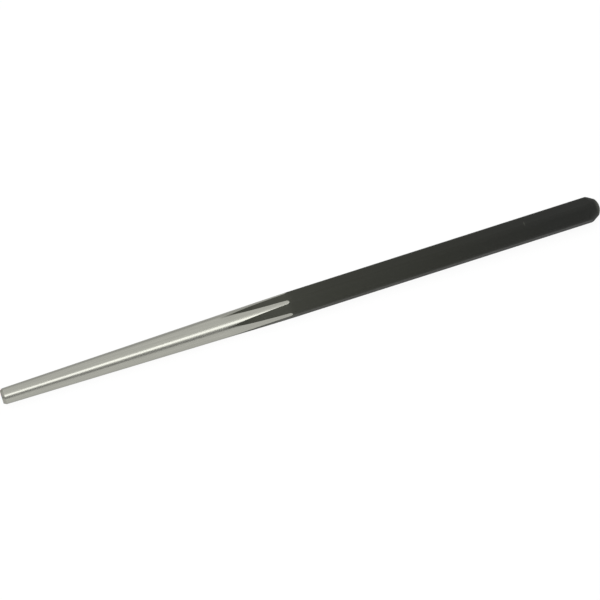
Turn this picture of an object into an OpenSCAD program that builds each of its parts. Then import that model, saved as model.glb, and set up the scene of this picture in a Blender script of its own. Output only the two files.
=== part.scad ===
// Long taper punch, also sold as a line-up or drift punch. A rolled hexagonal bar has a
// long cone ground on one end and a domed crown turned on the other. The shank and the
// crown carry a thin black coat, which ends in six tongues where the cone was ground
// through it. The bar lies on one of its flats, along X, with its tip towards -X.

/* [Bar] */
// Length of the bare bar, from the tip to the top of the struck end
bar_l = 405; // [300:1:500]
// Width of the hexagonal bar across its flats
flats_w = 16; // [14:0.1:19]
// Radius of the bar's rolled corners
corner_r = 3.2; // [2:0.1:5]

/* [Taper] */
// Diameter of the ground cone at the tip
tip_d = 10.7; // [6:0.1:12]
// Distance from the tip to the place where the cone runs out on the corners
taper_l = 198.5; // [120:0.5:230]
// Width of the bevel round the flat tip
tip_bevel = 0.9; // [0.3:0.1:1.5]
// Length of that bevel along the bar
tip_bevel_l = 1.9; // [0.5:0.1:3]

/* [Struck end] */
// Diameter of the domed striking face
face_d = 10.8; // [9:0.1:12]
// Height of the face's dome
dome_h = 1.9; // [1.2:0.1:2.2]
// Length of the struck end, from its corners on the hexagon to the top of the dome
crown_l = 7.2; // [6:0.1:9]

/* [Coat] */
// Thickness of the black coat
coat_t = 0.05; // [0.03:0.01:0.2]

/* [Hidden] */
$fn = 96;

// The section is a hexagon with rounded corners. The round of a corner stands out past
// the flats by corner_over, so that the flats trim it instead of only touching it.
sides = 6;
side_angle = 360 / sides;
flat_r = flats_w / 2;
corner_over = 0.005;
corner_centre = (flat_r + corner_over - corner_r) / cos(side_angle / 2);
crest_r = corner_centre + corner_r;

// The cone first touches the flats at flats_at and leaves the crests at taper_l
tip_r = tip_d / 2;
taper_slope = (crest_r - tip_r) / taper_l;
flats_at = (flat_r - tip_r) / taper_slope;
// The cone is ground on a round stub of stub_r as far as hex_from, which lies this far
// before the place where the cone touches the flats
lead = 3;
hex_from = flats_at - lead;
stub_r = flat_r - taper_slope * lead / 2;

// The dome is a ball centred on the axis. Below the dome, the crown is a cone that runs
// straight from the face's edge to the crests.
face_r = face_d / 2;
dome_r = (face_r * face_r + dome_h * dome_h) / (2 * dome_h);
crown_angle = atan((crest_r - face_r) / (crown_l - dome_h));
crown_middle = bar_l - (crown_l + dome_h) / 2;

// The coat starts this far behind the places where the cone touches the flats, because
// a film is too weak to hold a sharp point
tongue_blunt = 0.3;
// Steps along each tongue's edge, over half a corner and over half a flat
corner_steps = 6;
flat_steps = 8;

// How far a cutting shape runs past what it cuts
overrun = 1;

function polar(r, angle) = [r * cos(angle), r * sin(angle)];
function cone_r(z) = tip_r + taper_slope * z;

// The bar's section, with its corners at 0, 60, 120 degrees and so on. grow adds the coat.
module section(grow) {
    r = corner_r + grow;
    reach = 3 * r;
    difference() {
        circle(r = (flat_r + grow) / cos(side_angle / 2), $fn = sides);
        for (i = [0 : sides - 1])
            rotate(i * side_angle)
                translate([corner_centre, 0])
                    difference() {
                        polygon([[0, 0], polar(reach, -side_angle / 2), polar(reach, side_angle / 2)]);
                        circle(r = r);
                    }
    }
}

// Half outline of the struck end's crown: a cone over a straight side, which is wide
// enough to leave the hexagon alone
module crown_outline(grow) {
    side_r = crest_r + grow + overrun;
    apex = bar_l - dome_h + face_r / tan(crown_angle) + grow / sin(crown_angle);
    polygon([[0, 0], [side_r, 0], [side_r, apex - side_r / tan(crown_angle)], [0, apex]]);
}

// Half outline of the dome, which stands on a block of the full width
module dome_outline(grow) {
    translate([0, bar_l - dome_r])
        circle(r = dome_r + grow);
    square([crest_r + grow + 2 * overrun, crown_middle]);
}

// The hexagonal bar from a given place to its crowned and domed struck end
module blank(grow, from) {
    intersection() {
        translate([0, 0, from])
            linear_extrude(height = bar_l + grow - from)
                section(grow);
        rotate_extrude()
            intersection() {
                crown_outline(grow);
                dome_outline(grow);
            }
    }
}

// What the grinder takes off round the cone, up to where the cone has run out
module ground_off() {
    to = taper_l + lead;
    difference() {
        translate([0, 0, -overrun])
            cylinder(h = to + overrun, r = crest_r + overrun);
        translate([0, 0, -2 * overrun])
            cylinder(h = to + 3 * overrun, r1 = cone_r(-2 * overrun), r2 = cone_r(to + overrun));
    }
}

// What the bevel takes off the tip, outside a line that rises from the edge of the tip's
// flat face by bevel_rise for each step outwards
module bevelled_off() {
    bevel_rise = tip_bevel_l / tip_bevel;
    inner = tip_r - tip_bevel - overrun;
    leg = 2 * (tip_bevel + overrun);
    rotate_extrude()
        translate([inner, -overrun * bevel_rise])
            polygon([[0, 0], [leg, 0], [leg, leg * bevel_rise]]);
}

// Half of the bare bar's outline at one corner: round the corner from its crest to the
// flat, and then along the flat to its middle
flat_middle = polar(flat_r, side_angle / 2);
arc_end = side_angle / 2 - acos((corner_r - corner_over) / corner_r);
function corner_point(angle) = [corner_centre, 0] + polar(corner_r, angle);
half_outline = concat(
    [for (i = [0 : corner_steps]) corner_point(arc_end * i / corner_steps)],
    [for (i = [1 : flat_steps])
        corner_point(arc_end) + (flat_middle - corner_point(arc_end)) * i / flat_steps]
);

// The same points seen from outside the corner, each at the distance from the tip where
// the cone passes through it
tongue_edge = [for (p = half_outline) [p.y, (norm(p) - tip_r) / taper_slope]];
other_edge = [for (p = tongue_edge) [-p.x, p.y]];

// Takes the coat off one corner, between the tongues on the flats beside it
module bared_corner() {
    last = len(tongue_edge) - 1;
    rotate([90, 0, 90])
        translate([0, 0, corner_centre])
            linear_extrude(height = corner_r + coat_t + overrun)
                polygon(concat(
                    [[-flat_middle.y, hex_from], [flat_middle.y, hex_from]],
                    [for (i = [last : -1 : 0]) tongue_edge[i]],
                    [for (i = [1 : last]) other_edge[i]]
                ));
}

// From a bar that stands on its tip to one that lies on a flat, centred on its length
module laid_down() {
    translate([-(bar_l + coat_t) / 2, 0, flat_r + coat_t])
        rotate([0, 90, 0])
            rotate(side_angle / 2)
                children();
}

// The steel bar, with its ground cone left bright
module steel_bar() {
    color("silver")
        laid_down()
            difference() {
                union() {
                    blank(0, hex_from);
                    cylinder(h = hex_from + overrun, r = stub_r);
                }
                ground_off();
                bevelled_off();
            }
}

// The coat on the shank and the crown
module black_coat() {
    color("#3a3b35")
        laid_down()
            difference() {
                blank(coat_t, flats_at + tongue_blunt);
                blank(0, flats_at);
                for (i = [0 : sides - 1])
                    rotate(i * side_angle)
                        bared_corner();
            }
}

steel_bar();
black_coat();
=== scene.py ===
"""A long taper punch, dressed for a studio picture.

The real thing is one bar of hexagonal tool steel. It is dipped or sprayed black, and then
a long cone is ground on one end, so that the steel shows bright and the black ends in
tongues. The order below is the order in which it is made, and then the studio follows.
"""

from math import atan, cos, pi, radians, sin, sqrt, tan

import bpy
from mathutils import Matrix, Vector


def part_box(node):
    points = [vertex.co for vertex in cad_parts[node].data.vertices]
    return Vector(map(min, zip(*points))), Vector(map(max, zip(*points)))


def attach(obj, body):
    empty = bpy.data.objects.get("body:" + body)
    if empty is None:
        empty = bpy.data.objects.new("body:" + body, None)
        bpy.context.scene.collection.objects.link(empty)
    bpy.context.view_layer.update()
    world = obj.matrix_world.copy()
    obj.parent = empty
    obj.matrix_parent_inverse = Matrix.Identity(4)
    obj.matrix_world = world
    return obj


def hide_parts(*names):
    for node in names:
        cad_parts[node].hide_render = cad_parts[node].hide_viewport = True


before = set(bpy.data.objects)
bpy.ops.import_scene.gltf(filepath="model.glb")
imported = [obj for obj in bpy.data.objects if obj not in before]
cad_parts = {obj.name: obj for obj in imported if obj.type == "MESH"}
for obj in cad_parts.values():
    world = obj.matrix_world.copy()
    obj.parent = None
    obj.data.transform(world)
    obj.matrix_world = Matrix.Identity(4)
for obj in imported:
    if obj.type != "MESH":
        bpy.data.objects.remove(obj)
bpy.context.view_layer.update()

# Steel bar
# One piece of hexagonal tool steel, rolled with rounded corners. Its struck end is turned
# to a short cone and a dome, and its other end is ground to a long cone with a flat tip.
# The belt that polishes the cone runs along it and leaves fine lengthwise marks.
mm = 0.001
steel_low, steel_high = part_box("steel_bar")
tip_x = steel_low.x
bar_l = steel_high.x - steel_low.x
axis_z = (steel_low.z + steel_high.z) / 2
flat_r = (steel_high.z - steel_low.z) / 2
corner_r = 3.2 * mm
tip_r = 5.35 * mm
taper_l = 198.5 * mm
tip_bevel = 0.9 * mm
tip_bevel_l = 1.9 * mm
face_r = 5.4 * mm
dome_h = 1.9 * mm
crown_l = 7.2 * mm

# Half the angle that a side of the hexagon takes up, seen from the axis
half_side = radians(30)
crest_r = (flat_r - corner_r) / cos(half_side) + corner_r
taper_slope = (crest_r - tip_r) / taper_l
dome_r = (face_r**2 + dome_h**2) / (2 * dome_h)
crown_angle = atan((crest_r - face_r) / (crown_l - dome_h))


def only(piece):
    """Makes this piece the one that the next operators work on."""
    bpy.ops.object.select_all(action="DESELECT")
    piece.select_set(True)
    bpy.context.view_layer.objects.active = piece


def pick(piece, kind, wanted):
    """Selects the piece's edges or polygons that are wanted, and leaves it in edit mode."""
    only(piece)
    bpy.ops.object.mode_set(mode="EDIT")
    bpy.ops.mesh.select_mode(type="EDGE" if kind == "edges" else "FACE")
    bpy.ops.mesh.select_all(action="DESELECT")
    bpy.ops.object.mode_set(mode="OBJECT")
    for item in getattr(piece.data, kind):
        item.select = wanted(item)
    bpy.ops.object.mode_set(mode="EDIT")


def rolled_bar(name, coat):
    """The hexagonal bar as it comes from the mill, with a coat of that thickness on it."""
    spare = 2 * mm
    corner_steps = 16
    bpy.ops.object.select_all(action="DESELECT")
    bpy.ops.mesh.primitive_cylinder_add(
        vertices=6,
        radius=(flat_r + coat) / cos(half_side),
        depth=bar_l + 2 * spare,
        location=(tip_x + bar_l / 2, 0, axis_z),
        rotation=(0, radians(90), 0),
    )
    bar = bpy.context.object
    bar.name = name
    bpy.ops.object.transform_apply(location=True, rotation=True, scale=True)
    points = bar.data.vertices
    pick(
        bar,
        "edges",
        lambda edge: abs(points[edge.vertices[0]].co.x - points[edge.vertices[1]].co.x) > mm,
    )
    bpy.ops.mesh.bevel(
        offset=(corner_r + coat) * tan(half_side),
        segments=corner_steps,
        profile=0.5,
        clamp_overlap=False,
    )
    bpy.ops.object.mode_set(mode="OBJECT")
    return bar


def turned_form(name, coat, cone_back=None):
    """The round form that the lathe and the grinder leave, drawn out ring by ring.

    The cone lies back by cone_back from where it is ground, and is left out if that is None.
    """
    head_x = tip_x + bar_l
    clear_of_bar = mm
    wide_r = crest_r + coat + clear_of_bar
    rings = [(tip_x - 3 * mm, wide_r)]
    if cone_back is not None:
        # The belt cuts a little deeper as it leaves the bar, and ends on a short rise
        dip_x = taper_l - 12 * mm
        rise_x = taper_l - 5 * mm
        end_x = taper_l - 2.2 * mm
        outline = [
            (0, tip_r - tip_bevel),
            (tip_bevel_l, tip_r + taper_slope * tip_bevel_l),
            (dip_x, tip_r + taper_slope * dip_x - 0.02 * mm),
            (rise_x, tip_r + taper_slope * rise_x - 0.05 * mm),
            (end_x, crest_r + 0.1 * mm),
            (end_x + clear_of_bar, wide_r + cone_back),
        ]
        rings = [(tip_x + x, r - cone_back) for x, r in outline]
    # An arc of foot_r leads from the corners to the crown's cone, and one of blend_r leads
    # from there to the dome. The first one starts just outside the corners.
    foot_r = 7 * mm
    clear = 0.01 * mm
    side = Vector((cos(crown_angle), -sin(crown_angle)))
    out = Vector((sin(crown_angle), cos(crown_angle)))
    foot = Vector((head_x - crown_l, crest_r))
    foot_back = (foot_r - (foot_r - clear) * cos(crown_angle)) / sin(crown_angle)
    foot_centre = foot + Vector((-foot_back, clear - foot_r))
    rings.append((foot_centre.x - clear_of_bar, wide_r))
    foot_steps = 10
    for i in range(foot_steps + 1):
        angle = radians(90) - crown_angle * i / foot_steps
        rings.append(tuple(foot_centre + (foot_r + coat) * Vector((cos(angle), sin(angle)))))
    blend_r = 1.3 * mm
    dome = Vector((head_x - dome_r, 0))
    start = foot - out * blend_r - dome
    reach = start.dot(side)
    travel = -reach + sqrt(reach**2 - start.length_squared + (dome_r - blend_r) ** 2)
    blend = dome + start + side * travel
    blend_end = (blend - dome).angle(Vector((1, 0)))
    blend_start = radians(90) - crown_angle
    blend_steps = 10
    for i in range(blend_steps + 1):
        angle = blend_start + (blend_end - blend_start) * i / blend_steps
        rings.append(tuple(blend + (blend_r + coat) * Vector((cos(angle), sin(angle)))))
    dome_steps = 16
    for i in range(1, dome_steps):
        angle = blend_end * (1 - i / dome_steps)
        rings.append(tuple(dome + (dome_r + coat) * Vector((cos(angle), sin(angle)))))

    start_x, start_r = rings[0]
    round_steps = 360
    bpy.ops.object.select_all(action="DESELECT")
    bpy.ops.mesh.primitive_circle_add(
        vertices=round_steps,
        radius=start_r,
        fill_type="NGON",
        location=(start_x, 0, axis_z),
        rotation=(0, radians(90), 0),
    )
    form = bpy.context.object
    form.name = name
    bpy.ops.object.transform_apply(location=True, rotation=True, scale=True)
    bpy.ops.object.mode_set(mode="EDIT")
    bpy.ops.mesh.select_all(action="SELECT")
    for (last_x, last_r), (x, r) in zip(rings, rings[1:]):
        bpy.ops.mesh.extrude_region_move(TRANSFORM_OT_translate={"value": (x - last_x, 0, 0)})
        bpy.ops.transform.resize(value=(1, r / last_r, r / last_r), center_override=(x, 0, axis_z))
    bpy.ops.mesh.select_all(action="SELECT")
    bpy.ops.mesh.normals_make_consistent(inside=False)
    bpy.ops.object.mode_set(mode="OBJECT")
    return form


def cut(piece, operation, tool):
    """Cuts a piece with a tool, which is used up."""
    only(piece)
    bpy.ops.object.modifier_add(type="BOOLEAN")
    modifier = piece.modifiers[-1]
    modifier.operation = operation
    modifier.solver = "EXACT"
    modifier.object = tool
    bpy.ops.object.modifier_apply(modifier=modifier.name)
    bpy.data.objects.remove(tool)


def soften(piece):
    """Takes the sharpness off the turned edges, as polishing does."""
    only(piece)
    bpy.ops.object.modifier_add(type="BEVEL")
    modifier = piece.modifiers[-1]
    modifier.width = 0.15 * mm
    modifier.segments = 2
    modifier.limit_method = "ANGLE"
    modifier.angle_limit = radians(25)
    bpy.ops.object.modifier_apply(modifier=modifier.name)


def sweep(piece):
    """Splits a piece into triangles, and closes those without any width."""
    no_width = 0.0005 * mm
    only(piece)
    bpy.ops.object.mode_set(mode="EDIT")
    bpy.ops.mesh.select_mode(type="VERT")
    bpy.ops.mesh.select_all(action="SELECT")
    bpy.ops.mesh.remove_doubles(threshold=no_width)
    bpy.ops.mesh.quads_convert_to_tris(quad_method="BEAUTY", ngon_method="BEAUTY")
    bpy.ops.mesh.dissolve_degenerate(threshold=no_width)
    bpy.ops.object.mode_set(mode="OBJECT")


def crisp_where_ground(piece):
    """Keeps the line crisp where the ground cone meets the bar, and the rest smooth."""
    only(piece)
    bpy.ops.object.shade_smooth_by_angle(angle=radians(30))
    slants = {}
    for face in piece.data.polygons:
        for key in face.edge_keys:
            slants.setdefault(key, []).append(face.normal.x)
    halfway = -sin(taper_slope) / 3
    pick(
        piece,
        "edges",
        lambda edge: min(slants[edge.key]) < halfway < max(slants[edge.key]),
    )
    bpy.ops.mesh.mark_sharp()
    bpy.ops.object.mode_set(mode="OBJECT")
    bpy.ops.object.modifier_add(type="WEIGHTED_NORMAL")
    piece.modifiers[-1].keep_sharp = True
    bpy.ops.object.modifier_apply(modifier=piece.modifiers[-1].name)


def colour(code):
    """A colour written as sRGB hex, turned to linear."""
    parts = [int(code[i : i + 2], 16) / 255 for i in (1, 3, 5)]
    return [p / 12.92 if p <= 0.04045 else ((p + 0.055) / 1.055) ** 2.4 for p in parts] + [1]


def node(material, kind, settings=(), **links):
    """Adds a node with its settings, and feeds each input a value or an output.

    An input is given by its name, or by an underscore and its number.
    """
    made = material.node_tree.nodes.new(kind)
    for key, value in dict(settings).items():
        setattr(made, key, value)
    for name, value in links.items():
        by_number = name[1:].isdigit()
        socket = made.inputs[int(name[1:]) if by_number else name.replace("_", " ")]
        if isinstance(value, bpy.types.NodeSocket):
            material.node_tree.links.new(value, socket)
        else:
            socket.default_value = value
    return made


steel = rolled_bar("steel_punch", 0)
cut(steel, "INTERSECT", turned_form("ground form", 0, 0))
soften(steel)
sweep(steel)
crisp_where_ground(steel)

# Tool steel, belt ground and polished lengthwise: bright, a little soft, with streaks
ground_steel = bpy.data.materials.new("belt_ground_tool_steel")
ground_steel.use_nodes = True
shader = ground_steel.node_tree.nodes["Principled BSDF"]
shader.inputs["Metallic"].default_value = 1
# Iron reflects less than other metals where it is seen at a slant
slant_tint = (0.65, 0.65, 0.65, 1)
shader.inputs["Specular Tint"].default_value = slant_tint
place = node(ground_steel, "ShaderNodeTexCoord").outputs["Object"]
# The belt's marks are about 0.2 mm apart, and are drawn at 0.5 mm so that they show
mark_step = 0.5 * mm
mark_l = 60 * mm
marks = node(
    ground_steel,
    "ShaderNodeMapping",
    Vector=place,
    Scale=(1 / mark_l, 1 / mark_step, 1 / mark_step),
)
streaks = node(
    ground_steel,
    "ShaderNodeTexNoise",
    Vector=marks.outputs[0],
    Scale=1,
    Detail=3,
    Roughness=0.6,
)
tone = node(
    ground_steel,
    "ShaderNodeValToRGB",
    Fac=streaks.outputs[0],
)
tone.color_ramp.elements[0].position = 0.3
tone.color_ramp.elements[0].color = colour("#A0A098")
tone.color_ramp.elements[1].position = 0.7
tone.color_ramp.elements[1].color = colour("#AEAEA5")
# The belt has drawn a little of the black out ahead of each of the coat's tongues, along
# the middle of the six flats
tongue_x = tip_x + (flat_r - tip_r) / taper_slope
part_of = node(ground_steel, "ShaderNodeSeparateXYZ", Vector=place).outputs
height = node(
    ground_steel,
    "ShaderNodeMath",
    {"operation": "SUBTRACT"},
    _0=part_of["Z"],
    _1=axis_z,
)
round_axis = node(
    ground_steel,
    "ShaderNodeMath",
    {"operation": "ARCTAN2"},
    _0=part_of["Y"],
    _1=height.outputs[0],
)
six_times = node(
    ground_steel,
    "ShaderNodeMath",
    {"operation": "MULTIPLY"},
    _0=round_axis.outputs[0],
    _1=6,
)
facing = node(
    ground_steel,
    "ShaderNodeMath",
    {"operation": "COSINE"},
    _0=six_times.outputs[0],
)
middle = node(
    ground_steel,
    "ShaderNodeMapRange",
    Value=facing.outputs[0],
    From_Min=0.7,
    From_Max=1,
    To_Min=0,
    To_Max=0.85,
)
ahead = node(
    ground_steel,
    "ShaderNodeMapRange",
    Value=part_of["X"],
    From_Min=tongue_x - 7 * mm,
    From_Max=tongue_x + 2.5 * mm,
    To_Min=0,
    To_Max=1,
)
drawn_out = node(
    ground_steel,
    "ShaderNodeMath",
    {"operation": "MULTIPLY"},
    _0=middle.outputs[0],
    _1=ahead.outputs[0],
)
base = node(
    ground_steel,
    "ShaderNodeMix",
    {"data_type": "RGBA"},
    _0=drawn_out.outputs[0],
    _6=tone.outputs[0],
    _7=colour("#3D3E36"),
)
sheen = node(
    ground_steel,
    "ShaderNodeMapRange",
    Value=streaks.outputs[0],
    From_Min=0.3,
    From_Max=0.7,
    To_Min=0.2,
    To_Max=0.28,
)
grooves = node(
    ground_steel,
    "ShaderNodeBump",
    Height=streaks.outputs[0],
    Strength=0.1,
    Distance=0.01 * mm,
)
link = ground_steel.node_tree.links.new
link(base.outputs[2], shader.inputs["Base Color"])
link(sheen.outputs[0], shader.inputs["Roughness"])
link(grooves.outputs[0], shader.inputs["Normal"])
steel.data.materials.append(ground_steel)

# The same steel, faced on a lathe: the flat tip and its bevel carry fine rings
faced_steel = bpy.data.materials.new("lathe_faced_tool_steel")
faced_steel.use_nodes = True
shader = faced_steel.node_tree.nodes["Principled BSDF"]
shader.inputs["Metallic"].default_value = 1
shader.inputs["Specular Tint"].default_value = slant_tint
shader.inputs["Base Color"].default_value = colour("#9C9B93")
shader.inputs["Roughness"].default_value = 0.25
# The tool moves 0.3 mm in a turn. A ring of this texture takes 0.1 pi of its own units.
turn_step = 0.3 * mm
turns = node(
    faced_steel,
    "ShaderNodeTexWave",
    {"wave_type": "RINGS", "rings_direction": "X"},
    Vector=node(
        faced_steel,
        "ShaderNodeMapping",
        Vector=node(faced_steel, "ShaderNodeTexCoord").outputs["Object"],
        Location=(0, 0, -axis_z),
    ).outputs[0],
    Scale=0.1 * pi / turn_step,
)
groove = node(
    faced_steel,
    "ShaderNodeBump",
    Height=turns.outputs[0],
    Strength=1,
    Distance=0.02 * mm,
)
faced_steel.node_tree.links.new(groove.outputs[0], shader.inputs["Normal"])
steel.data.materials.append(faced_steel)
pick(steel, "polygons", lambda face: face.normal.x < -0.3)
steel.active_material_index = 1
bpy.ops.object.material_slot_assign()
bpy.ops.object.mode_set(mode="OBJECT")
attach(steel, "root")
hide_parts("steel_bar")

# Black coat
# A thin satin black film on the shank and the struck end. The cone is ground after it is
# on, so it ends in six tongues, and its edge breaks back a little from the cut.
coat_low, coat_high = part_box("black_coat")
coat_t = (coat_high.z - coat_low.z) / 2 - flat_r
coat = rolled_bar("black_film", coat_t)
cut(coat, "INTERSECT", turned_form("ground form", coat_t, 0.5 * coat_t))
soften(coat)
bare = rolled_bar("bare bar", 0)
cut(bare, "INTERSECT", turned_form("turned form", 0))
cut(coat, "DIFFERENCE", bare)
sweep(coat)
crisp_where_ground(coat)

# Black powder coat, baked on steel: satin, nearly black with a touch of olive, with a
# very fine skin like orange peel
black_film = bpy.data.materials.new("satin_black_powder_coat")
black_film.use_nodes = True
shader = black_film.node_tree.nodes["Principled BSDF"]
shader.inputs["Metallic"].default_value = 0
shader.inputs["IOR"].default_value = 1.45
shader.inputs["Specular IOR Level"].default_value = 0.22
place = node(black_film, "ShaderNodeTexCoord").outputs["Object"]
# The skin's bumps are about 0.6 mm across
skin = node(
    black_film,
    "ShaderNodeTexNoise",
    Vector=place,
    Scale=1 / (0.6 * mm),
    Detail=2,
    Roughness=0.5,
)
# Handling leaves it a little uneven over a few centimetres
handling = node(
    black_film,
    "ShaderNodeTexNoise",
    Vector=place,
    Scale=1 / (25 * mm),
    Detail=4,
    Roughness=0.6,
)
# Painted light along the bar: the film is painted darker at the struck end and lighter towards the
# cone, as the light falls on it, lightest on the tongues and a little darker where they start
along_bar = node(black_film, "ShaderNodeSeparateXYZ", Vector=place).outputs["X"]
painted_light_along_bar = node(
    black_film,
    "ShaderNodeMapRange",
    Value=along_bar,
    From_Min=200 * mm,
    From_Max=-50 * mm,
    To_Min=0,
    To_Max=1,
)
unevenness = node(
    black_film,
    "ShaderNodeMath",
    {"operation": "MULTIPLY_ADD"},
    _0=handling.outputs[0],
    _1=0.1,
    _2=-0.05,
)
painted_light_and_handling = node(
    black_film,
    "ShaderNodeMath",
    {"operation": "ADD"},
    _0=painted_light_along_bar.outputs[0],
    _1=unevenness.outputs[0],
)
# The ramp's stops paint this light and shade along the bar over the film's own near-black
tone = node(black_film, "ShaderNodeValToRGB", Fac=painted_light_and_handling.outputs[0])
tone.color_ramp.elements[0].position = 0.1
tone.color_ramp.elements[0].color = colour("#21221F")
tone.color_ramp.elements[1].position = 0.84
tone.color_ramp.elements[1].color = colour("#3D3E36")
for position, code in (
    (0.42, "#262721"),
    (0.72, "#2E2F28"),
    (0.815, "#33342D"),
    (0.9, "#3D3E36"),
    (0.945, "#35362E"),
):
    stop = tone.color_ramp.elements.new(position)
    stop.color = colour(code)
# A scuff lies across the upper flat, about 50 mm from the struck end
scuff_size = Vector((0.5, 1.9, 4)) * mm
scuff_at = Vector((152.1 * mm, -2.3 * mm, coat_high.z))
scuff_far = node(
    black_film,
    "ShaderNodeVectorMath",
    {"operation": "LENGTH"},
    _0=node(
        black_film,
        "ShaderNodeMapping",
        Vector=place,
        Scale=[1 / size for size in scuff_size],
        Location=[-at / size for at, size in zip(scuff_at, scuff_size)],
    ).outputs[0],
).outputs["Value"]
scuff = node(
    black_film,
    "ShaderNodeMapRange",
    Value=scuff_far,
    From_Min=0.5,
    From_Max=1.2,
    To_Min=0.9,
    To_Max=0,
)
scuffed = node(
    black_film,
    "ShaderNodeMix",
    {"data_type": "RGBA"},
    _0=scuff.outputs[0],
    _6=tone.outputs[0],
    _7=colour("#3C3D37"),
)
# Hammer blows have dulled the dome and its edge
struck = node(
    black_film,
    "ShaderNodeMapRange",
    Value=along_bar,
    From_Min=coat_high.x - dome_h - 1.2 * mm,
    From_Max=coat_high.x - dome_h,
    To_Min=0,
    To_Max=0.9,
)
base = node(
    black_film,
    "ShaderNodeMix",
    {"data_type": "RGBA"},
    _0=struck.outputs[0],
    _6=scuffed.outputs[2],
    _7=colour("#3C3D37"),
)
sheen = node(
    black_film,
    "ShaderNodeMapRange",
    Value=handling.outputs[0],
    From_Min=0.3,
    From_Max=0.7,
    To_Min=0.52,
    To_Max=0.6,
)
peel = node(
    black_film,
    "ShaderNodeBump",
    Height=skin.outputs[0],
    Strength=0.6,
    Distance=0.04 * mm,
)
link = black_film.node_tree.links.new
link(base.outputs[2], shader.inputs["Base Color"])
link(sheen.outputs[0], shader.inputs["Roughness"])
link(peel.outputs[0], shader.inputs["Normal"])
coat.data.materials.append(black_film)
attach(coat, "root")
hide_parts("black_coat")

# Camera
# A long lens looks down on the bar at 45 degrees, square to it but for a few degrees
# that turn its tip nearer, and is rolled so that the bar rises to the right.
elevation = radians(45)
turn = radians(3)
roll = radians(17.72)
distance = 6
photo_px = 600
px = 0.6446 * mm
back = Vector((-sin(turn), -cos(turn) * cos(elevation), cos(turn) * sin(elevation)))
along = Vector((1, 0, 0))
along = (along - along.dot(back) * back).normalized()
across = back.cross(along)
right = cos(roll) * along - sin(roll) * across
up = sin(roll) * along + cos(roll) * across
aim = Vector((0, 0, axis_z)) + (up * 1.45 - right) * px
bpy.ops.object.select_all(action="DESELECT")
bpy.ops.object.camera_add()
camera = bpy.context.object
turned = Matrix((right, up, back)).transposed().to_4x4()
camera.matrix_world = Matrix.Translation(aim + back * distance) @ turned
camera.data.sensor_width = 36
camera.data.lens = camera.data.sensor_width * distance / (photo_px * px)
camera.data.clip_end = 50
bpy.context.scene.camera = camera
bpy.context.scene.view_settings.view_transform = "Standard"

# Floor
# A plain white table top, far larger than the view. The camera, and the steel with it,
# see it lit up to white, and it keeps a faint soft shadow where the bar lies.
# It lies a hair below the bar, so that the two never share a plane
floor_z = coat_low.z - 0.02 * mm
bpy.ops.object.select_all(action="DESELECT")
bpy.ops.mesh.primitive_plane_add(size=30, location=(0, 0, floor_z))
floor = bpy.context.object
floor.name = "table_top"
bpy.ops.object.transform_apply(location=True, rotation=True, scale=True)
white_top = bpy.data.materials.new("white_table_top")
white_top.use_nodes = True
tree = white_top.node_tree
tree.nodes.remove(tree.nodes["Principled BSDF"])
rays = node(white_top, "ShaderNodeLightPath").outputs
matt = node(white_top, "ShaderNodeBsdfDiffuse", Color=colour("#DCDEE0"))
faint = node(white_top, "ShaderNodeEmission", Strength=0.2)
plain = node(white_top, "ShaderNodeAddShader", _0=matt.outputs[0], _1=faint.outputs[0])
dimmer = node(white_top, "ShaderNodeBsdfDiffuse", Color=colour("#585858"))
glow = node(white_top, "ShaderNodeEmission", Strength=0.92)
lit = node(white_top, "ShaderNodeAddShader", _0=dimmer.outputs[0], _1=glow.outputs[0])
seen = rays["Is Camera Ray"]
for kind in ("Is Glossy Ray", "Is Transmission Ray"):
    seen = node(
        white_top, "ShaderNodeMath", {"operation": "MAXIMUM"}, _0=seen, _1=rays[kind]
    ).outputs[0]
either = node(white_top, "ShaderNodeMixShader", _0=seen, _1=plain.outputs[0], _2=lit.outputs[0])
tree.links.new(either.outputs[0], tree.nodes["Material Output"].inputs["Surface"])
floor.data.materials.append(white_top)

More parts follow.
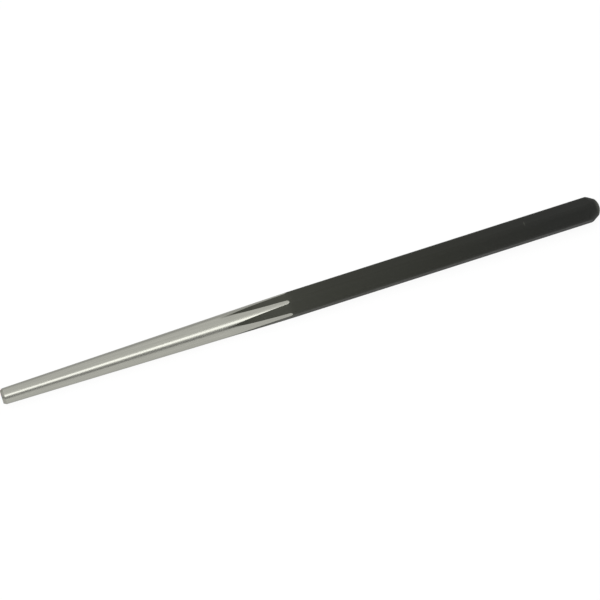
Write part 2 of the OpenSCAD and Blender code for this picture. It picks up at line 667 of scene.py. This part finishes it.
# Light
# A white room, greyer near the floor, with a long softbox over the camera, and a grey card
# below it that gives the polished cone the dark line beside its bright one.
world = bpy.data.worlds.new("white_room")
bpy.context.scene.world = world
world.use_nodes = True
tree = world.node_tree
height = node(
    world,
    "ShaderNodeSeparateXYZ",
    Vector=node(world, "ShaderNodeTexCoord").outputs["Generated"],
).outputs["Z"]
wall = node(
    world, "ShaderNodeMapRange", Value=height, From_Min=0.4, From_Max=0.6, To_Min=0.69, To_Max=1
)
room = node(world, "ShaderNodeBackground", Color=(1, 1, 1, 1), Strength=wall.outputs[0])
tree.links.new(room.outputs[0], tree.nodes["World Output"].inputs["Surface"])

bpy.ops.object.select_all(action="DESELECT")
box_away = 0.3
box_up = radians(46)
box_half = radians(10)
box_left = -0.36
box_right = 0.06
bpy.ops.object.light_add(
    type="AREA",
    location=(
        (box_left + box_right) / 2,
        -box_away * cos(box_up),
        axis_z + box_away * sin(box_up),
    ),
)
softbox = bpy.context.object
softbox.rotation_euler = (radians(90) - box_up, 0, 0)
softbox.data.shape = "RECTANGLE"
softbox.data.size = box_right - box_left
softbox.data.size_y = 2 * box_away * tan(box_half)
softbox.data.color = (0.98, 0.985, 1)
softbox.data.energy = 1.86 * pi * softbox.data.size * softbox.data.size_y
softbox.visible_camera = False

# A small lamp low in front brightens the coat near the cone
bpy.ops.object.select_all(action="DESELECT")
fill_away = 0.2
fill_up = radians(18)
fill_right = 0.05
bpy.ops.object.light_add(
    type="AREA",
    location=(fill_right, -fill_away * cos(fill_up), axis_z + fill_away * sin(fill_up)),
)
fill = bpy.context.object
fill.rotation_euler = (radians(90) - fill_up, 0, 0)
fill.data.size = 0.06
fill.data.energy = 2.5 * pi * fill.data.size**2
fill.visible_camera = False

# The grey card stands upright, well in front of the bar and parallel to it
card_away = 0.9
card_bottom = 0.074
card_top = 0.45
bpy.ops.object.select_all(action="DESELECT")
bpy.ops.mesh.primitive_plane_add(
    size=1,
    location=(0, -card_away, (card_bottom + card_top) / 2),
    rotation=(radians(90), 0, 0),
)
card = bpy.context.object
card.name = "grey_card"
card.scale = (4, card_top - card_bottom, 1)
bpy.ops.object.transform_apply(location=True, rotation=True, scale=True)
grey_paper = bpy.data.materials.new("matt_grey_paper")
grey_paper.use_nodes = True
shader = grey_paper.node_tree.nodes["Principled BSDF"]
shader.inputs["Base Color"].default_value = colour("#C0C0C0")
shader.inputs["Roughness"].default_value = 1
card.data.materials.append(grey_paper)
card.visible_camera = False
